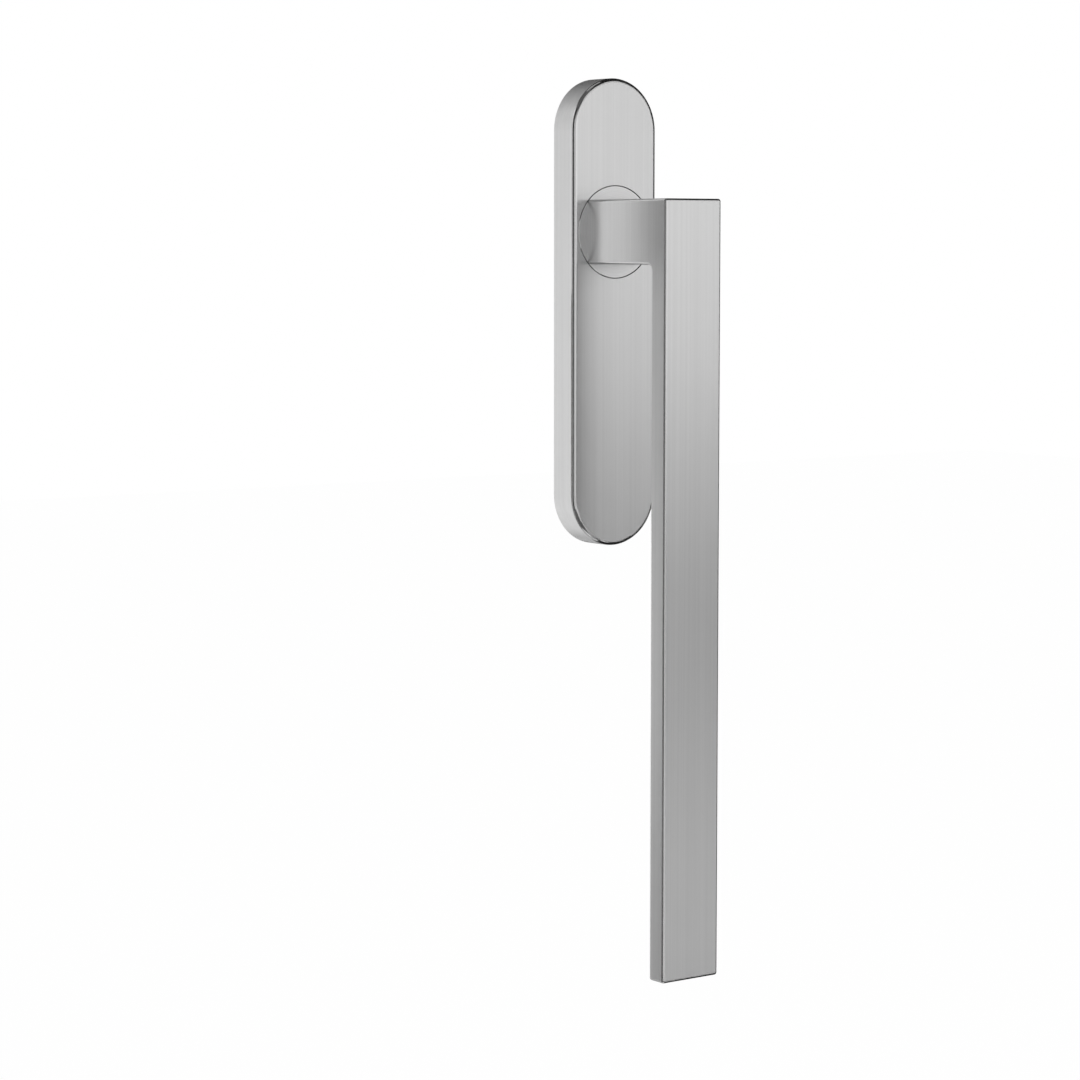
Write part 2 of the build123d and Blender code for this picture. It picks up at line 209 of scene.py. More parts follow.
# Cards bent round the handle: radius at the foot and at the top, first and last bearing in
# degrees anticlockwise from +X, lowest and highest point, and the tone at the foot and at the top
CURVED_CARDS = {
    "card_left_rear": (FAR, FAR, 143, 168, FOOT, 0.45, 0.03, 0.03),
    "card_left": (FAR, FAR, 168, 190, FOOT, 0.1, 0.28, 0.25),
    "card_left_upper": (FAR, FAR, 168, 190, 0.1, 0.45, 0.22, 0.03),
    "card_left_fore": (FAR, FAR, 190, 214, FOOT, 0.45, 0.02, 0.02),
    "card_left_high": (1.19, 1.19, 148, 220, 0.45, 1.2, 0.05, 0.05),
    "card_round_camera": (FAR, FAR, 214, 256, -0.6, 0.42, 0.57, 0.6),
    "card_round_camera_high": (FAR, FAR, 214, 262, 0.42, 0.8, 0.6, 0.05),
    "card_fore_high": (FAR, FAR, 220, 262, 0.8, 1.2, 0.05, 0.05),
    "card_front_high": (FAR, FAR, 262, 318.5, 0.22, 0.95, 0.97, 0.5),
    "card_front_foot": (NEAR, NEAR, 262, 318.5, FOOT, -0.42, 0.82, 0.62),
    "card_front_low": (NEAR, NEAR, 262, 318.5, -0.42, -0.32, 0.66, 0.46),
    "card_front_dip": (NEAR, NEAR, 262, 318.5, -0.32, -0.21, 0.34, 0.34),
    "card_front_step": (NEAR, NEAR, 262, 318.5, -0.21, -0.115, 0.78, 0.74),
    "card_right_fore": (FAR, FAR, 318.5, 348, FOOT, 0.3, 0.02, 0.02),
    "card_right": (FAR, FAR, 348, 372, FOOT, 0.12, 0.33, 0.38),
    "card_right_upper": (FAR, FAR, 348, 372, 0.12, 0.3, 0.3, 0.02),
    "card_right_rear": (FAR, FAR, 372, 392, FOOT, 0.3, 0.02, 0.02),
    "card_behind_right": (FAR, FAR, 392, 411, FOOT, 0.3, 0.5, 0.5),
    "card_behind_far_right": (FAR, FAR, 411, 426, FOOT, 0.3, 0.08, 0.08),
    "card_right_high": (FAR, FAR, 318.5, 408, 0.3, 1.0, 0.02, 0.02),
    "card_behind_right_high": (FAR, FAR, 408, 426, 0.3, 1.0, 0.1, 0.22),
    "card_behind_low": (FAR, FAR, 95, 143, FOOT, -0.05, 0.95, 0.95),
    "card_behind_high": (FAR, FAR, 95, 143, -0.05, 0.6, 0.93, 0.68),
    "card_below_fore": (0.24, 0.95, 142, 300, -0.63, -0.63, 0.1, 0.14),
    "card_below_left_rim": (0.95, 1.19, 142, 258, -0.63, -0.63, 0.1, 0.03),
    "card_below_right_rim": (0.6, 1.19, 321, 349, -0.63, -0.63, 0.05, 0.03),
}
# Flat cards: the first corner, the way along the foot, the way from foot to top, and the tone at
# the foot and at the top
FLAT_CARDS = {
    "card_above_left": ((-0.95, -1.05, OVER), (1.0, 0, 0), (0, 1.8, 0), 0.12, 0.12),
    "card_above": ((0.05, -1.05, OVER), (1.1, 0, 0), (0, 1.8, 0), 0.02, 0.02),
    "card_overhead": ((-0.2, -0.2, 0.88), (0.4, 0, 0), (0, 0.4, 0), 0.4, 0.4),
    "card_above_far_left": ((-1.0, 0.75, OVER), (0, 1.65, 0), (1.65, 0, 0), 0.82, 0.16),
    "card_above_far_right": ((0.65, 0.75, OVER), (1.35, 0, 0), (0, 1.65, 0), 0.02, 0.02),
    "card_below_left": ((-0.6, -0.1, UNDER), (0.7, 0, 0), (0, 0.45, 0), 0.5, 0.5),
    "card_below_right_fore": ((0.36, -0.75, UNDER), (0.44, 0, 0), (0, 0.4, 0), 0.12, 0.04),
    "card_below_right": ((0.1, -0.35, UNDER), (1.1, 0, 0), (0, 0.7, 0), 0.02, 0.02),
    "card_below_far_left": ((-0.6, 0.35, UNDER), (0, 0.65, 0), (0.55, 0, 0), 0.93, 0.9),
    "card_below_far_middle": ((-0.05, 0.35, UNDER), (0, 0.65, 0), (0.47, 0, 0), 0.9, 0.28),
    "card_below_far_right": ((0.42, 0.35, UNDER), (0.28, 0, 0), (0, 0.35, 0), 0.1, 0.1),
    "card_beside_neck": ((-0.26, BESIDE, -0.03), (0.202, 0, 0), (0, 0, 0.11), 0.26, 0.26),
    "card_beside_plate": ((-0.058, BESIDE, -0.03), (0.022, 0, 0), (0, 0, 0.11), 0.85, 0.85),
    "card_beside_bar": ((-0.26, BESIDE, -0.24), (0.182, 0, 0), (0, 0, 0.215), 0.2, 0.2),
    "card_beside_bar_edge": ((-0.078, BESIDE, -0.24), (0.028, 0, 0), (0, 0, 0.225), 0.66, 0.6),
    "card_beside_tip": ((-0.26, BESIDE, -0.6), (0.182, 0, 0), (0, 0, 0.36), 0.03, 0.22),
    "card_beside_tip_edge": ((-0.078, BESIDE, -0.6), (0.028, 0, 0), (0, 0, 0.36), 0.17, 0.64),
    "card_beside_foot": ((-0.26, BESIDE, -0.85), (0.21, 0, 0), (0, 0, 0.25), 0.02, 0.02),
}


def linear(hex_colour):
    """An sRGB hex colour as linear red, green and blue."""
    channels = (int(hex_colour[place:place + 2], 16) / 255 for place in (1, 3, 5))
    return tuple(c / 12.92 if c <= 0.04045 else ((c + 0.055) / 1.055) ** 2.4 for c in channels)


def shade(colour, factor):
    """A colour made darker or lighter, up to white, with full alpha."""
    return (*[min(channel * factor, 1) for channel in colour], 1)


def fill_inputs(tree, node, inputs):
    """Sets or links a node's inputs by name or by number."""
    for key, value in inputs.items():
        if isinstance(value, bpy.types.NodeSocket):
            tree.links.new(value, node.inputs[key])
        else:
            node.inputs[key].default_value = value


def add_node(tree, kind, settings=None, inputs=None):
    """Adds a node with its settings and inputs."""
    node = tree.nodes.new(kind)
    for name, value in (settings or {}).items():
        setattr(node, name, value)
    fill_inputs(tree, node, inputs or {})
    return node


def empty_tree(owner):
    """The node tree of a material or a world, with nothing in it."""
    owner.use_nodes = True
    owner.node_tree.nodes.clear()
    return owner.node_tree


def new_material(name):
    """A material with its Principled shader and its output."""
    material = bpy.data.materials.new(name)
    tree = empty_tree(material)
    shader = add_node(tree, "ShaderNodeBsdfPrincipled")
    add_node(tree, "ShaderNodeOutputMaterial", inputs={"Surface": shader.outputs[0]})
    return material, tree, shader


def new_object(name, data):
    """An object with this mesh, lamp or camera, in the scene."""
    made = bpy.data.objects.new(name, data)
    bpy.context.scene.collection.objects.link(made)
    return made


def finish_nodes(material, *names):
    """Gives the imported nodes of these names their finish."""
    for name in names:
        piece = frame["nodes"][name]
        if not piece.material_slots:
            piece.data.materials.append(material)
        for material_slot in piece.material_slots:
            material_slot.material = material


class HandleFinishes(bpy.types.PropertyGroup):
    """Colours and surface grain of the handle's metals and plastic."""

    satin_colour: FloatVectorProperty(
        name="Satin steel",
        description="Colour of the brushed stainless steel",
        subtype="COLOR",
        default=linear("#DEDEDE"),
    )
    satin_roughness: FloatProperty(
        name="Satin roughness",
        description="How soft the brushed steel's reflections are",
        default=0.3,
        min=0,
        max=1,
    )
    edge_polish: FloatProperty(
        name="Edge polish",
        description="How much less rough the belt leaves the rounds at the front",
        default=0.18,
        min=0,
        max=0.25,
    )
    brush_spacing: FloatProperty(
        name="Brush line spacing",
        description="Width of one drawn brush line",
        unit="LENGTH",
        subtype="DISTANCE",
        default=0.0014,
    )
    brush_length: FloatProperty(
        name="Brush line length",
        description="Length over which a brush line fades",
        unit="LENGTH",
        subtype="DISTANCE",
        default=0.25,
    )
    casting_colour: FloatVectorProperty(
        name="Zinc casting",
        description="Colour of the die-cast carrier",
        subtype="COLOR",
        default=linear("#A9ABAD"),
    )
    acetal_colour: FloatVectorProperty(
        name="Acetal",
        description="Colour of the bush and the slide washer",
        subtype="COLOR",
        default=linear("#E8E6DF"),
    )
    oxide_colour: FloatVectorProperty(
        name="Black oxide",
        description="Colour of the blackened hardened steel",
        subtype="COLOR",
        default=linear("#3A3A3C"),
    )
    plating_colour: FloatVectorProperty(
        name="Zinc plating",
        description="Colour of the plated steel",
        subtype="COLOR",
        default=linear("#C2C7CB"),
    )
    machined_colour: FloatVectorProperty(
        name="Machined steel",
        description="Colour of the stainless set screws",
        subtype="COLOR",
        default=linear("#B9B8B5"),
    )


class FixingScrewSizes(bpy.types.PropertyGroup):
    """Sizes of the two screws into the door that the frame doesn't give by itself."""

    thread_diameter: FloatProperty(
        name="Thread diameter",
        description="Outside diameter of the thread",
        unit="LENGTH",
        subtype="DISTANCE",
        default=0.006,
    )
    root_diameter: FloatProperty(
        name="Root diameter",
        description="Diameter at the thread's root",
        unit="LENGTH",
        subtype="DISTANCE",
        default=0.0048,
    )
    shank_diameter: FloatProperty(
        name="Shank diameter",
        description="Diameter between head and thread",
        unit="LENGTH",
        subtype="DISTANCE",
        default=0.0053,
    )
    pitch: FloatProperty(
        name="Pitch",
        description="Distance from one thread crest to the next",
        unit="LENGTH",
        subtype="DISTANCE",
        default=0.001,
    )
    thread_length: FloatProperty(
        name="Thread length",
        description="Length of the threaded end",
        unit="LENGTH",
        subtype="DISTANCE",
        default=0.018,
    )
    key_width: FloatProperty(
        name="Key width",
        description="Width across the flats of the hexagon socket",
        unit="LENGTH",
        subtype="DISTANCE",
        default=0.004,
    )
    socket_depth: FloatProperty(
        name="Socket depth",
        description="Depth of the hexagon socket",
        unit="LENGTH",
        subtype="DISTANCE",
        default=0.0026,
    )
    around: IntProperty(
        name="Faces around",
        description="Faces round the screw",
        default=40,
    )


class StudioSettings(bpy.types.PropertyGroup):
    """Floor, cards, light and camera."""

    floor_colour: FloatVectorProperty(
        name="Floor",
        description="Colour of the floor",
        subtype="COLOR",
        default=linear("#FFFFFF"),
    )
    floor_drop: FloatProperty(
        name="Floor drop",
        description="How far the floor lies under the handle's lowest point",
        unit="LENGTH",
        subtype="DISTANCE",
        default=0.3,
    )
    card_depth: FloatProperty(
        name="Card depth",
        description="How dark the cards are, from 0 for white to 1 for their own tones",
        default=1.0,
        min=0,
        max=1,
    )
    world_strength: FloatProperty(
        name="World strength",
        description="Level of the light from all round",
        default=0.92,
    )
    key_power: FloatProperty(
        name="Key lamp",
        description="Power of the large soft lamp, in watts",
        default=3.4,
    )
    camera_place: FloatVectorProperty(
        name="Camera place",
        description="Where the camera stands",
        unit="LENGTH",
        subtype="TRANSLATION",
        default=(-0.9222, -1.2298, -0.0054),
    )
    camera_turn: FloatProperty(
        name="Camera turn",
        description="Turn of the camera from straight ahead to the right",
        unit="ROTATION",
        subtype="ANGLE",
        default=radians(35.858),
    )
    camera_dip: FloatProperty(
        name="Camera dip",
        description="How far the camera looks down",
        unit="ROTATION",
        subtype="ANGLE",
        default=radians(5.395),
    )
    lens: FloatProperty(
        name="Lens",
        description="Focal length on a 36 mm sensor, in millimetres",
        default=104.74,
    )

    def tone(self, full):
        """A card's tone, between white and the tone it has at full depth."""
        return 1 - self.card_depth * (1 - full)


def brushed_steel(finishes, name, round_sides):
    """Stainless steel brushed lengthwise. Its sides are either round about the front's
    direction, or flat with rounds between them."""
    # A belt's long grain gives the eye soft reflections, broken by fine straight lines
    material, tree, shader = new_material(name)
    # Real lines are about 0.1 mm apart: they are drawn as coarse as they need to show
    across = 1 / finishes.brush_spacing
    along = 1 / finishes.brush_length
    # A surface counts as an end from the first steepness, and fully from the second
    end_from, end_to = 0.6, 0.8
    # Slow changes of tone are 40 mm wide, and add this share to the lines
    drift_size, drift_share = 0.04, 0.35
    # The lowest and highest tone, their shades, and how far the roughness follows them
    tone_from, tone_to = 0.35, 0.95
    darker, lighter = 0.95, 1.05
    roughness_spread = 0.012
    # Along its own axis a face's normal is longer than the second value, and along every axis
    # a round's is shorter than the first
    round_below, face_from = 0.95, 0.99
    # How strongly the lines show as relief, and their depth in metres
    line_strength, line_depth = 0.5, 0.000002
    coordinate = add_node(tree, "ShaderNodeTexCoord")
    upright = add_node(
        tree,
        "ShaderNodeMapping",
        inputs={"Vector": coordinate.outputs["Object"], "Scale": (across, across, along)},
    )
    level = add_node(
        tree,
        "ShaderNodeMapping",
        inputs={"Vector": coordinate.outputs["Object"], "Scale": (across, along, across)},
    )
    grain = {"Scale": 1.0, "Detail": 3.0}
    lines = add_node(
        tree, "ShaderNodeTexNoise", inputs={"Vector": upright.outputs[0], **grain}
    )
    end_lines = add_node(
        tree, "ShaderNodeTexNoise", inputs={"Vector": level.outputs[0], **grain}
    )
    # The ends that face up and down are brushed from front to back
    direction = add_node(
        tree, "ShaderNodeSeparateXYZ", inputs={0: coordinate.outputs["Normal"]}
    )
    steepness = add_node(
        tree, "ShaderNodeMath", {"operation": "ABSOLUTE"}, {0: direction.outputs["Z"]}
    )
    is_end = add_node(
        tree,
        "ShaderNodeMapRange",
        inputs={"Value": steepness.outputs[0], "From Min": end_from, "From Max": end_to},
    )
    brushing = add_node(
        tree,
        "ShaderNodeMix",
        inputs={0: is_end.outputs[0], 2: lines.outputs[0], 3: end_lines.outputs[0]},
    )
    # The belt presses now more, now less
    drift = add_node(
        tree,
        "ShaderNodeTexNoise",
        inputs={"Vector": coordinate.outputs["Object"], "Scale": 1 / drift_size, "Detail": 1.0},
    )
    tone = add_node(
        tree,
        "ShaderNodeMath",
        {"operation": "MULTIPLY_ADD"},
        {0: drift.outputs[0], 1: drift_share, 2: brushing.outputs[0]},
    )
    ramp = add_node(tree, "ShaderNodeValToRGB", inputs={0: tone.outputs[0]})
    dark, light = ramp.color_ramp.elements
    dark.position, dark.color = tone_from, shade(finishes.satin_colour, darker)
    light.position, light.color = tone_to, shade(finishes.satin_colour, lighter)
    gloss = add_node(
        tree,
        "ShaderNodeMapRange",
        inputs={
            "Value": tone.outputs[0],
            "From Min": tone_from,
            "From Max": tone_to,
            "To Min": finishes.satin_roughness - roughness_spread,
            "To Max": finishes.satin_roughness + roughness_spread,
        },
    )
    # The belt runs over the rounds between two faces and polishes them: there the normal
    # points along no face's direction
    facing = add_node(
        tree, "ShaderNodeMath", {"operation": "ABSOLUTE"}, {0: direction.outputs["Y"]}
    )
    if round_sides:
        across_front = add_node(
            tree,
            "ShaderNodeVectorMath",
            {"operation": "MULTIPLY"},
            {0: coordinate.outputs["Normal"], 1: (1, 0, 1)},
        )
        sideways = add_node(
            tree, "ShaderNodeVectorMath", {"operation": "LENGTH"}, {0: across_front.outputs[0]}
        ).outputs["Value"]
    else:
        leaning = add_node(
            tree, "ShaderNodeMath", {"operation": "ABSOLUTE"}, {0: direction.outputs["X"]}
        )
        sideways = add_node(
            tree,
            "ShaderNodeMath",
            {"operation": "MAXIMUM"},
            {0: leaning.outputs[0], 1: steepness.outputs[0]},
        ).outputs[0]
    squareness = add_node(
        tree, "ShaderNodeMath", {"operation": "MAXIMUM"}, {0: facing.outputs[0], 1: sideways}
    )
    on_round = add_node(
        tree,
        "ShaderNodeMapRange",
        inputs={
            "Value": squareness.outputs[0],
            "From Min": round_below,
            "From Max": face_from,
            "To Min": 1.0,
            "To Max": 0.0,
        },
    )
    polished = add_node(
        tree,
        "ShaderNodeMath",
        {"operation": "MULTIPLY_ADD"},
        {0: on_round.outputs[0], 1: -finishes.edge_polish, 2: gloss.outputs[0]},
    )
    relief = add_node(
        tree,
        "ShaderNodeBump",
        inputs={
            "Strength": line_strength,
            "Distance": line_depth,
            "Height": brushing.outputs[0],
        },
    )
    look = {
        "Metallic": 1.0,
        "Base Color": ramp.outputs[0],
        "Roughness": polished.outputs[0],
        "Normal": relief.outputs[0],
    }
    fill_inputs(tree, shader, look)
    return material


def turned_steel(finishes):
    """Stainless steel faced on a lathe."""
    # The lathe leaves fine rings about the spindle's axis, and a brighter chamfer
    material, tree, shader = new_material("Stainless steel, turned")
    # The tool moves on about 0.1 mm a turn: the rings are drawn at 0.4 mm to show
    ring_spacing = 0.0004
    # The lowest and highest tone and their shades
    tone_from, tone_to = 0.3, 0.7
    darker, lighter = 0.96, 1.06
    # How strongly the rings show as relief, and their depth in metres
    ring_strength, ring_depth = 0.6, 0.000005
    # How far the normal points along the axis on the chamfer and on a face, and how rough they are
    chamfer_below, face_from = 0.9, 0.97
    chamfer_roughness, face_roughness = 0.12, 0.3
    coordinate = add_node(tree, "ShaderNodeTexCoord")
    flat = add_node(
        tree,
        "ShaderNodeVectorMath",
        {"operation": "MULTIPLY"},
        {0: coordinate.outputs["Object"], 1: (1, 0, 1)},
    )
    radius = add_node(
        tree, "ShaderNodeVectorMath", {"operation": "LENGTH"}, {0: flat.outputs[0]}
    )
    rings = add_node(
        tree,
        "ShaderNodeTexNoise",
        {"noise_dimensions": "1D"},
        {"W": radius.outputs["Value"], "Scale": 1 / ring_spacing, "Detail": 2.0},
    )
    ramp = add_node(tree, "ShaderNodeValToRGB", inputs={0: rings.outputs[0]})
    dark, light = ramp.color_ramp.elements
    dark.position, dark.color = tone_from, shade(finishes.satin_colour, darker)
    light.position, light.color = tone_to, shade(finishes.satin_colour, lighter)
    relief = add_node(
        tree,
        "ShaderNodeBump",
        inputs={"Strength": ring_strength, "Distance": ring_depth, "Height": rings.outputs[0]},
    )
    # The chamfer is cut last, with a finer feed than the faces
    direction = add_node(
        tree, "ShaderNodeSeparateXYZ", inputs={0: coordinate.outputs["Normal"]}
    )
    facing = add_node(
        tree, "ShaderNodeMath", {"operation": "ABSOLUTE"}, {0: direction.outputs["Y"]}
    )
    gloss = add_node(
        tree,
        "ShaderNodeMapRange",
        inputs={
            "Value": facing.outputs[0],
            "From Min": chamfer_below,
            "From Max": face_from,
            "To Min": chamfer_roughness,
            "To Max": face_roughness,
        },
    )
    look = {
        "Metallic": 1.0,
        "Base Color": ramp.outputs[0],
        "Roughness": gloss.outputs[0],
        "Normal": relief.outputs[0],
    }
    fill_inputs(tree, shader, look)
    return material


def grained_metal(name, colour, roughness, blotch_size, grain_size, relief_depth, contrast):
    """A metal with slow blotches of tone and a fine grain, both sized in metres."""
    material, tree, shader = new_material(name)
    # The grain adds this share to the blotches
    grain_share = 0.3
    # The lowest and highest tone, and how far the roughness follows them
    tone_from, tone_to = 0.4, 0.9
    roughness_spread = 0.06
    # How strongly the grain shows as relief
    relief_strength = 0.6
    coordinate = add_node(tree, "ShaderNodeTexCoord")
    blotches = add_node(
        tree,
        "ShaderNodeTexNoise",
        inputs={
            "Vector": coordinate.outputs["Object"],
            "Scale": 1 / blotch_size,
            "Detail": 3.0,
            "Roughness": 0.55,
        },
    )
    grain = add_node(
        tree,
        "ShaderNodeTexNoise",
        inputs={
            "Vector": coordinate.outputs["Object"],
            "Scale": 1 / grain_size,
            "Detail": 2.0,
        },
    )
    tone = add_node(
        tree,
        "ShaderNodeMath",
        {"operation": "MULTIPLY_ADD"},
        {0: grain.outputs[0], 1: grain_share, 2: blotches.outputs[0]},
    )
    ramp = add_node(tree, "ShaderNodeValToRGB", inputs={0: tone.outputs[0]})
    dark, light = ramp.color_ramp.elements
    dark.position, dark.color = tone_from, shade(colour, 1 - contrast)
    light.position, light.color = tone_to, shade(colour, 1 + contrast)
    gloss = add_node(
        tree,
        "ShaderNodeMapRange",
        inputs={
            "Value": tone.outputs[0],
            "From Min": tone_from,
            "From Max": tone_to,
            "To Min": roughness - roughness_spread,
            "To Max": roughness + roughness_spread,
        },
    )
    relief = add_node(
        tree,
        "ShaderNodeBump",
        inputs={
            "Strength": relief_strength,
            "Distance": relief_depth,
            "Height": grain.outputs[0],
        },
    )
    look = {
        "Metallic": 1.0,
        "Base Color": ramp.outputs[0],
        "Roughness": gloss.outputs[0],
        "Normal": relief.outputs[0],
    }
    fill_inputs(tree, shader, look)
    return material


def moulded_acetal(finishes):
    """Natural acetal, injection moulded."""
    # It looks waxy and off-white, with a faint sheen and clouds where the melt flowed
    material, tree, shader = new_material("Acetal, moulded")
    # The clouds to a metre, each 5.6 mm wide, the lowest and highest tone and the darker shade
    clouds_per_metre = 180.0
    tone_from, tone_to = 0.3, 0.7
    darker = 0.94
    coordinate = add_node(tree, "ShaderNodeTexCoord")
    flow = add_node(
        tree,
        "ShaderNodeTexNoise",
        inputs={
            "Vector": coordinate.outputs["Object"],
            "Scale": clouds_per_metre,
            "Detail": 2.0,
        },
    )
    ramp = add_node(tree, "ShaderNodeValToRGB", inputs={0: flow.outputs[0]})
    dark, light = ramp.color_ramp.elements
    dark.position, dark.color = tone_from, shade(finishes.acetal_colour, darker)
    light.position, light.color = tone_to, shade(finishes.acetal_colour, 1)
    look = {"Base Color": ramp.outputs[0], "Roughness": 0.42, "IOR": 1.48}
    fill_inputs(tree, shader, look)
    return material


def zinc_plated_steel(finishes):
    """Steel with a clear-passivated zinc layer."""
    # The plating looks cool and bright, with faint cloudy patches
    return grained_metal(
        "Steel, zinc plated",
        finishes.plating_colour,
        roughness=0.3,
        blotch_size=0.006,
        grain_size=0.0004,
        relief_depth=0.000004,
        contrast=0.07,
    )


def screw_tree(material):
    """The node tree of a countersunk machine screw with its thread, set at a row of points."""
    tree = bpy.data.node_groups.new("Countersunk machine screws", "GeometryNodeTree")
    tree.is_modifier = True
    sizes = (
        "Length", "Head radius", "Shank radius", "Thread radius", "Root radius",
        "Pitch", "Thread length", "Socket radius", "Socket depth",
    )
    for name in sizes:
        tree.interface.new_socket(name, in_out="INPUT", socket_type="NodeSocketFloat")
    tree.interface.new_socket("Faces around", in_out="INPUT", socket_type="NodeSocketInt")
    for name in ("First head", "Step"):
        tree.interface.new_socket(name, in_out="INPUT", socket_type="NodeSocketVector")
    tree.interface.new_socket("Screws", in_out="OUTPUT", socket_type="NodeSocketGeometry")
    given = add_node(tree, "NodeGroupInput").outputs
    place = add_node(tree, "GeometryNodeInputPosition")
    axes = add_node(tree, "ShaderNodeSeparateXYZ", inputs={0: place.outputs[0]}).outputs
    known = {socket.name: socket for socket in (*given, *axes)}
    for name, operation, *terms in SCREW_STEPS:
        step = add_node(
            tree,
            "ShaderNodeMath",
            {"operation": operation, "use_clamp": name in HELD_STEPS},
            {n: known.get(term, term) for n, term in enumerate(terms)},
        )
        known[name] = step.outputs[0]
    blank = add_node(
        tree,
        "GeometryNodeMeshCylinder",
        inputs={
            "Vertices": known["Faces around"],
            "Side Segments": known["rows"],
            "Radius": 1.0,
            "Depth": known["Length"],
        },
    )
    stretch = add_node(
        tree,
        "ShaderNodeCombineXYZ",
        inputs={0: known["new x"], 1: known["new y"], 2: known["new z"]},
    )
    screw = add_node(
        tree,
        "GeometryNodeSetPosition",
        inputs={"Geometry": blank.outputs["Mesh"], "Position": stretch.outputs[0]},
    )
    hexagon = add_node(
        tree,
        "GeometryNodeMeshCylinder",
        inputs={
            "Vertices": 6,
            "Radius": known["Socket radius"],
            "Depth": known["hexagon height"],
        },
    )
    socketed = add_node(
        tree,
        "GeometryNodeMeshBoolean",
        {"operation": "DIFFERENCE"},
        {"Mesh 1": screw.outputs[0], "Mesh 2": hexagon.outputs["Mesh"]},
    )

    # One screw at each point of the row, its tip turned to the back
    row = add_node(
        tree,
        "GeometryNodeMeshLine",
        inputs={
            "Count": len(FIXING_SCREWS),
            "Start Location": known["First head"],
            "Offset": known["Step"],
        },
    )
    placed = add_node(
        tree,
        "GeometryNodeInstanceOnPoints",
        inputs={
            "Points": row.outputs[0],
            "Instance": socketed.outputs["Mesh"],
            "Rotation": (radians(90), 0, 0),
        },
    )
    real = add_node(tree, "GeometryNodeRealizeInstances", inputs={0: placed.outputs[0]})
    coloured = add_node(
        tree,
        "GeometryNodeSetMaterial",
        inputs={"Geometry": real.outputs[0], "Material": material},
    )
    add_node(tree, "NodeGroupOutput", inputs={0: coloured.outputs[0]})
    return tree


def plain_mesh(name, tree, values):
    """Runs a node tree with these inputs, and gives what it makes as an object of plain mesh."""
    maker = new_object(name + "_maker", bpy.data.meshes.new(name + "_maker"))
    modifier = maker.modifiers.new("Screws", "NODES")
    modifier.node_group = tree
    sockets = {
        item.name: item.identifier
        for item in tree.interface.items_tree
        if item.in_out == "INPUT"
    }
    for label, value in values.items():
        modifier[sockets[label]] = value
    made = bpy.data.meshes.new_from_object(
        maker.evaluated_get(bpy.context.evaluated_depsgraph_get())
    )
    bpy.data.objects.remove(maker)
    made.name = name
    return new_object(name, made)


class DOORHANDLE_OT_satin_steel(bpy.types.Operator):
    """Brush the cover and the lever lengthwise, and turn the hub"""

    bl_idname = "door_handle.satin_steel"
    bl_label = "Cover, lever and hub"

    def execute(self, context):
        finishes = context.scene.handle_finishes
        satin = "Stainless steel, long-grain satin"
        finish_nodes(brushed_steel(finishes, satin + ", drawn", round_sides=True), "cover_plate")
        finish_nodes(brushed_steel(finishes, satin, round_sides=False), "lever")
        finish_nodes(turned_steel(finishes), "hub")
        return {"FINISHED"}


class DOORHANDLE_OT_carrier(bpy.types.Operator):
    """Give the carrier its as-cast surface"""

    bl_idname = "door_handle.carrier"
    bl_label = "Die-cast carrier"

    def execute(self, context):
        colour = context.scene.handle_finishes.casting_colour
        # Zinc out of the die is dull and slightly clouded where the metal flowed together
        casting = grained_metal(
            "Zinc, die-cast",
            colour,
            roughness=0.46,
            blotch_size=0.009,
            grain_size=0.0007,
            relief_depth=0.00002,
            contrast=0.1,
        )
        finish_nodes(casting, "base_plate")
        return {"FINISHED"}


class DOORHANDLE_OT_bearing(bpy.types.Operator):
    """Make the bush and the slide washer off-white acetal"""

    bl_idname = "door_handle.bearing"
    bl_label = "Bush and slide washer"

    def execute(self, context):
        finish_nodes(
            moulded_acetal(context.scene.handle_finishes), "bearing_bush", "slide_washer"
        )
        return {"FINISHED"}


class DOORHANDLE_OT_hardened_parts(bpy.types.Operator):
    """Blacken the ring, the spring, the stop pin and the hub's screws"""

    bl_idname = "door_handle.hardened_parts"
    bl_label = "Ring, spring, pin and hub screws"

    def execute(self, context):
        colour = context.scene.handle_finishes.oxide_colour
        # Black oxide leaves a thin dark skin with an oily sheen
        blackened = grained_metal(
            "Steel, black oxide",
            colour,
            roughness=0.34,
            blotch_size=0.004,
            grain_size=0.0003,
            relief_depth=0.000005,
            contrast=0.2,
        )
        finish_nodes(
            blackened,
            "retaining_ring", "disc_spring", "stop_pin",
            "hub_screw_1", "hub_screw_2", "hub_screw_3", "hub_screw_4",
        )
        return {"FINISHED"}


class DOORHANDLE_OT_plated_parts(bpy.types.Operator):
    """Plate the spindle, the thrust washer and the support sleeves"""

    bl_idname = "door_handle.plated_parts"
    bl_label = "Spindle, washer and sleeves"

    def execute(self, context):
        finish_nodes(
            zinc_plated_steel(context.scene.handle_finishes),
            "spindle", "thrust_washer", "support_sleeve_upper", "support_sleeve_lower",
        )
        return {"FINISHED"}


class DOORHANDLE_OT_set_screws(bpy.types.Operator):
    """Finish the set screws of the cover and the spindle"""

    bl_idname = "door_handle.set_screws"
    bl_label = "Set screws"

    def execute(self, context):
        colour = context.scene.handle_finishes.machined_colour
        # Cut on an automatic lathe, so a little brighter and rougher than the satin faces
        machined = grained_metal(
            "Stainless steel, machined",
            colour,
            roughness=0.32,
            blotch_size=0.003,
            grain_size=0.0002,
            relief_depth=0.000004,
            contrast=0.08,
        )
        finish_nodes(machined, "cover_screw_upper", "cover_screw_lower", "spindle_screw")
        return {"FINISHED"}


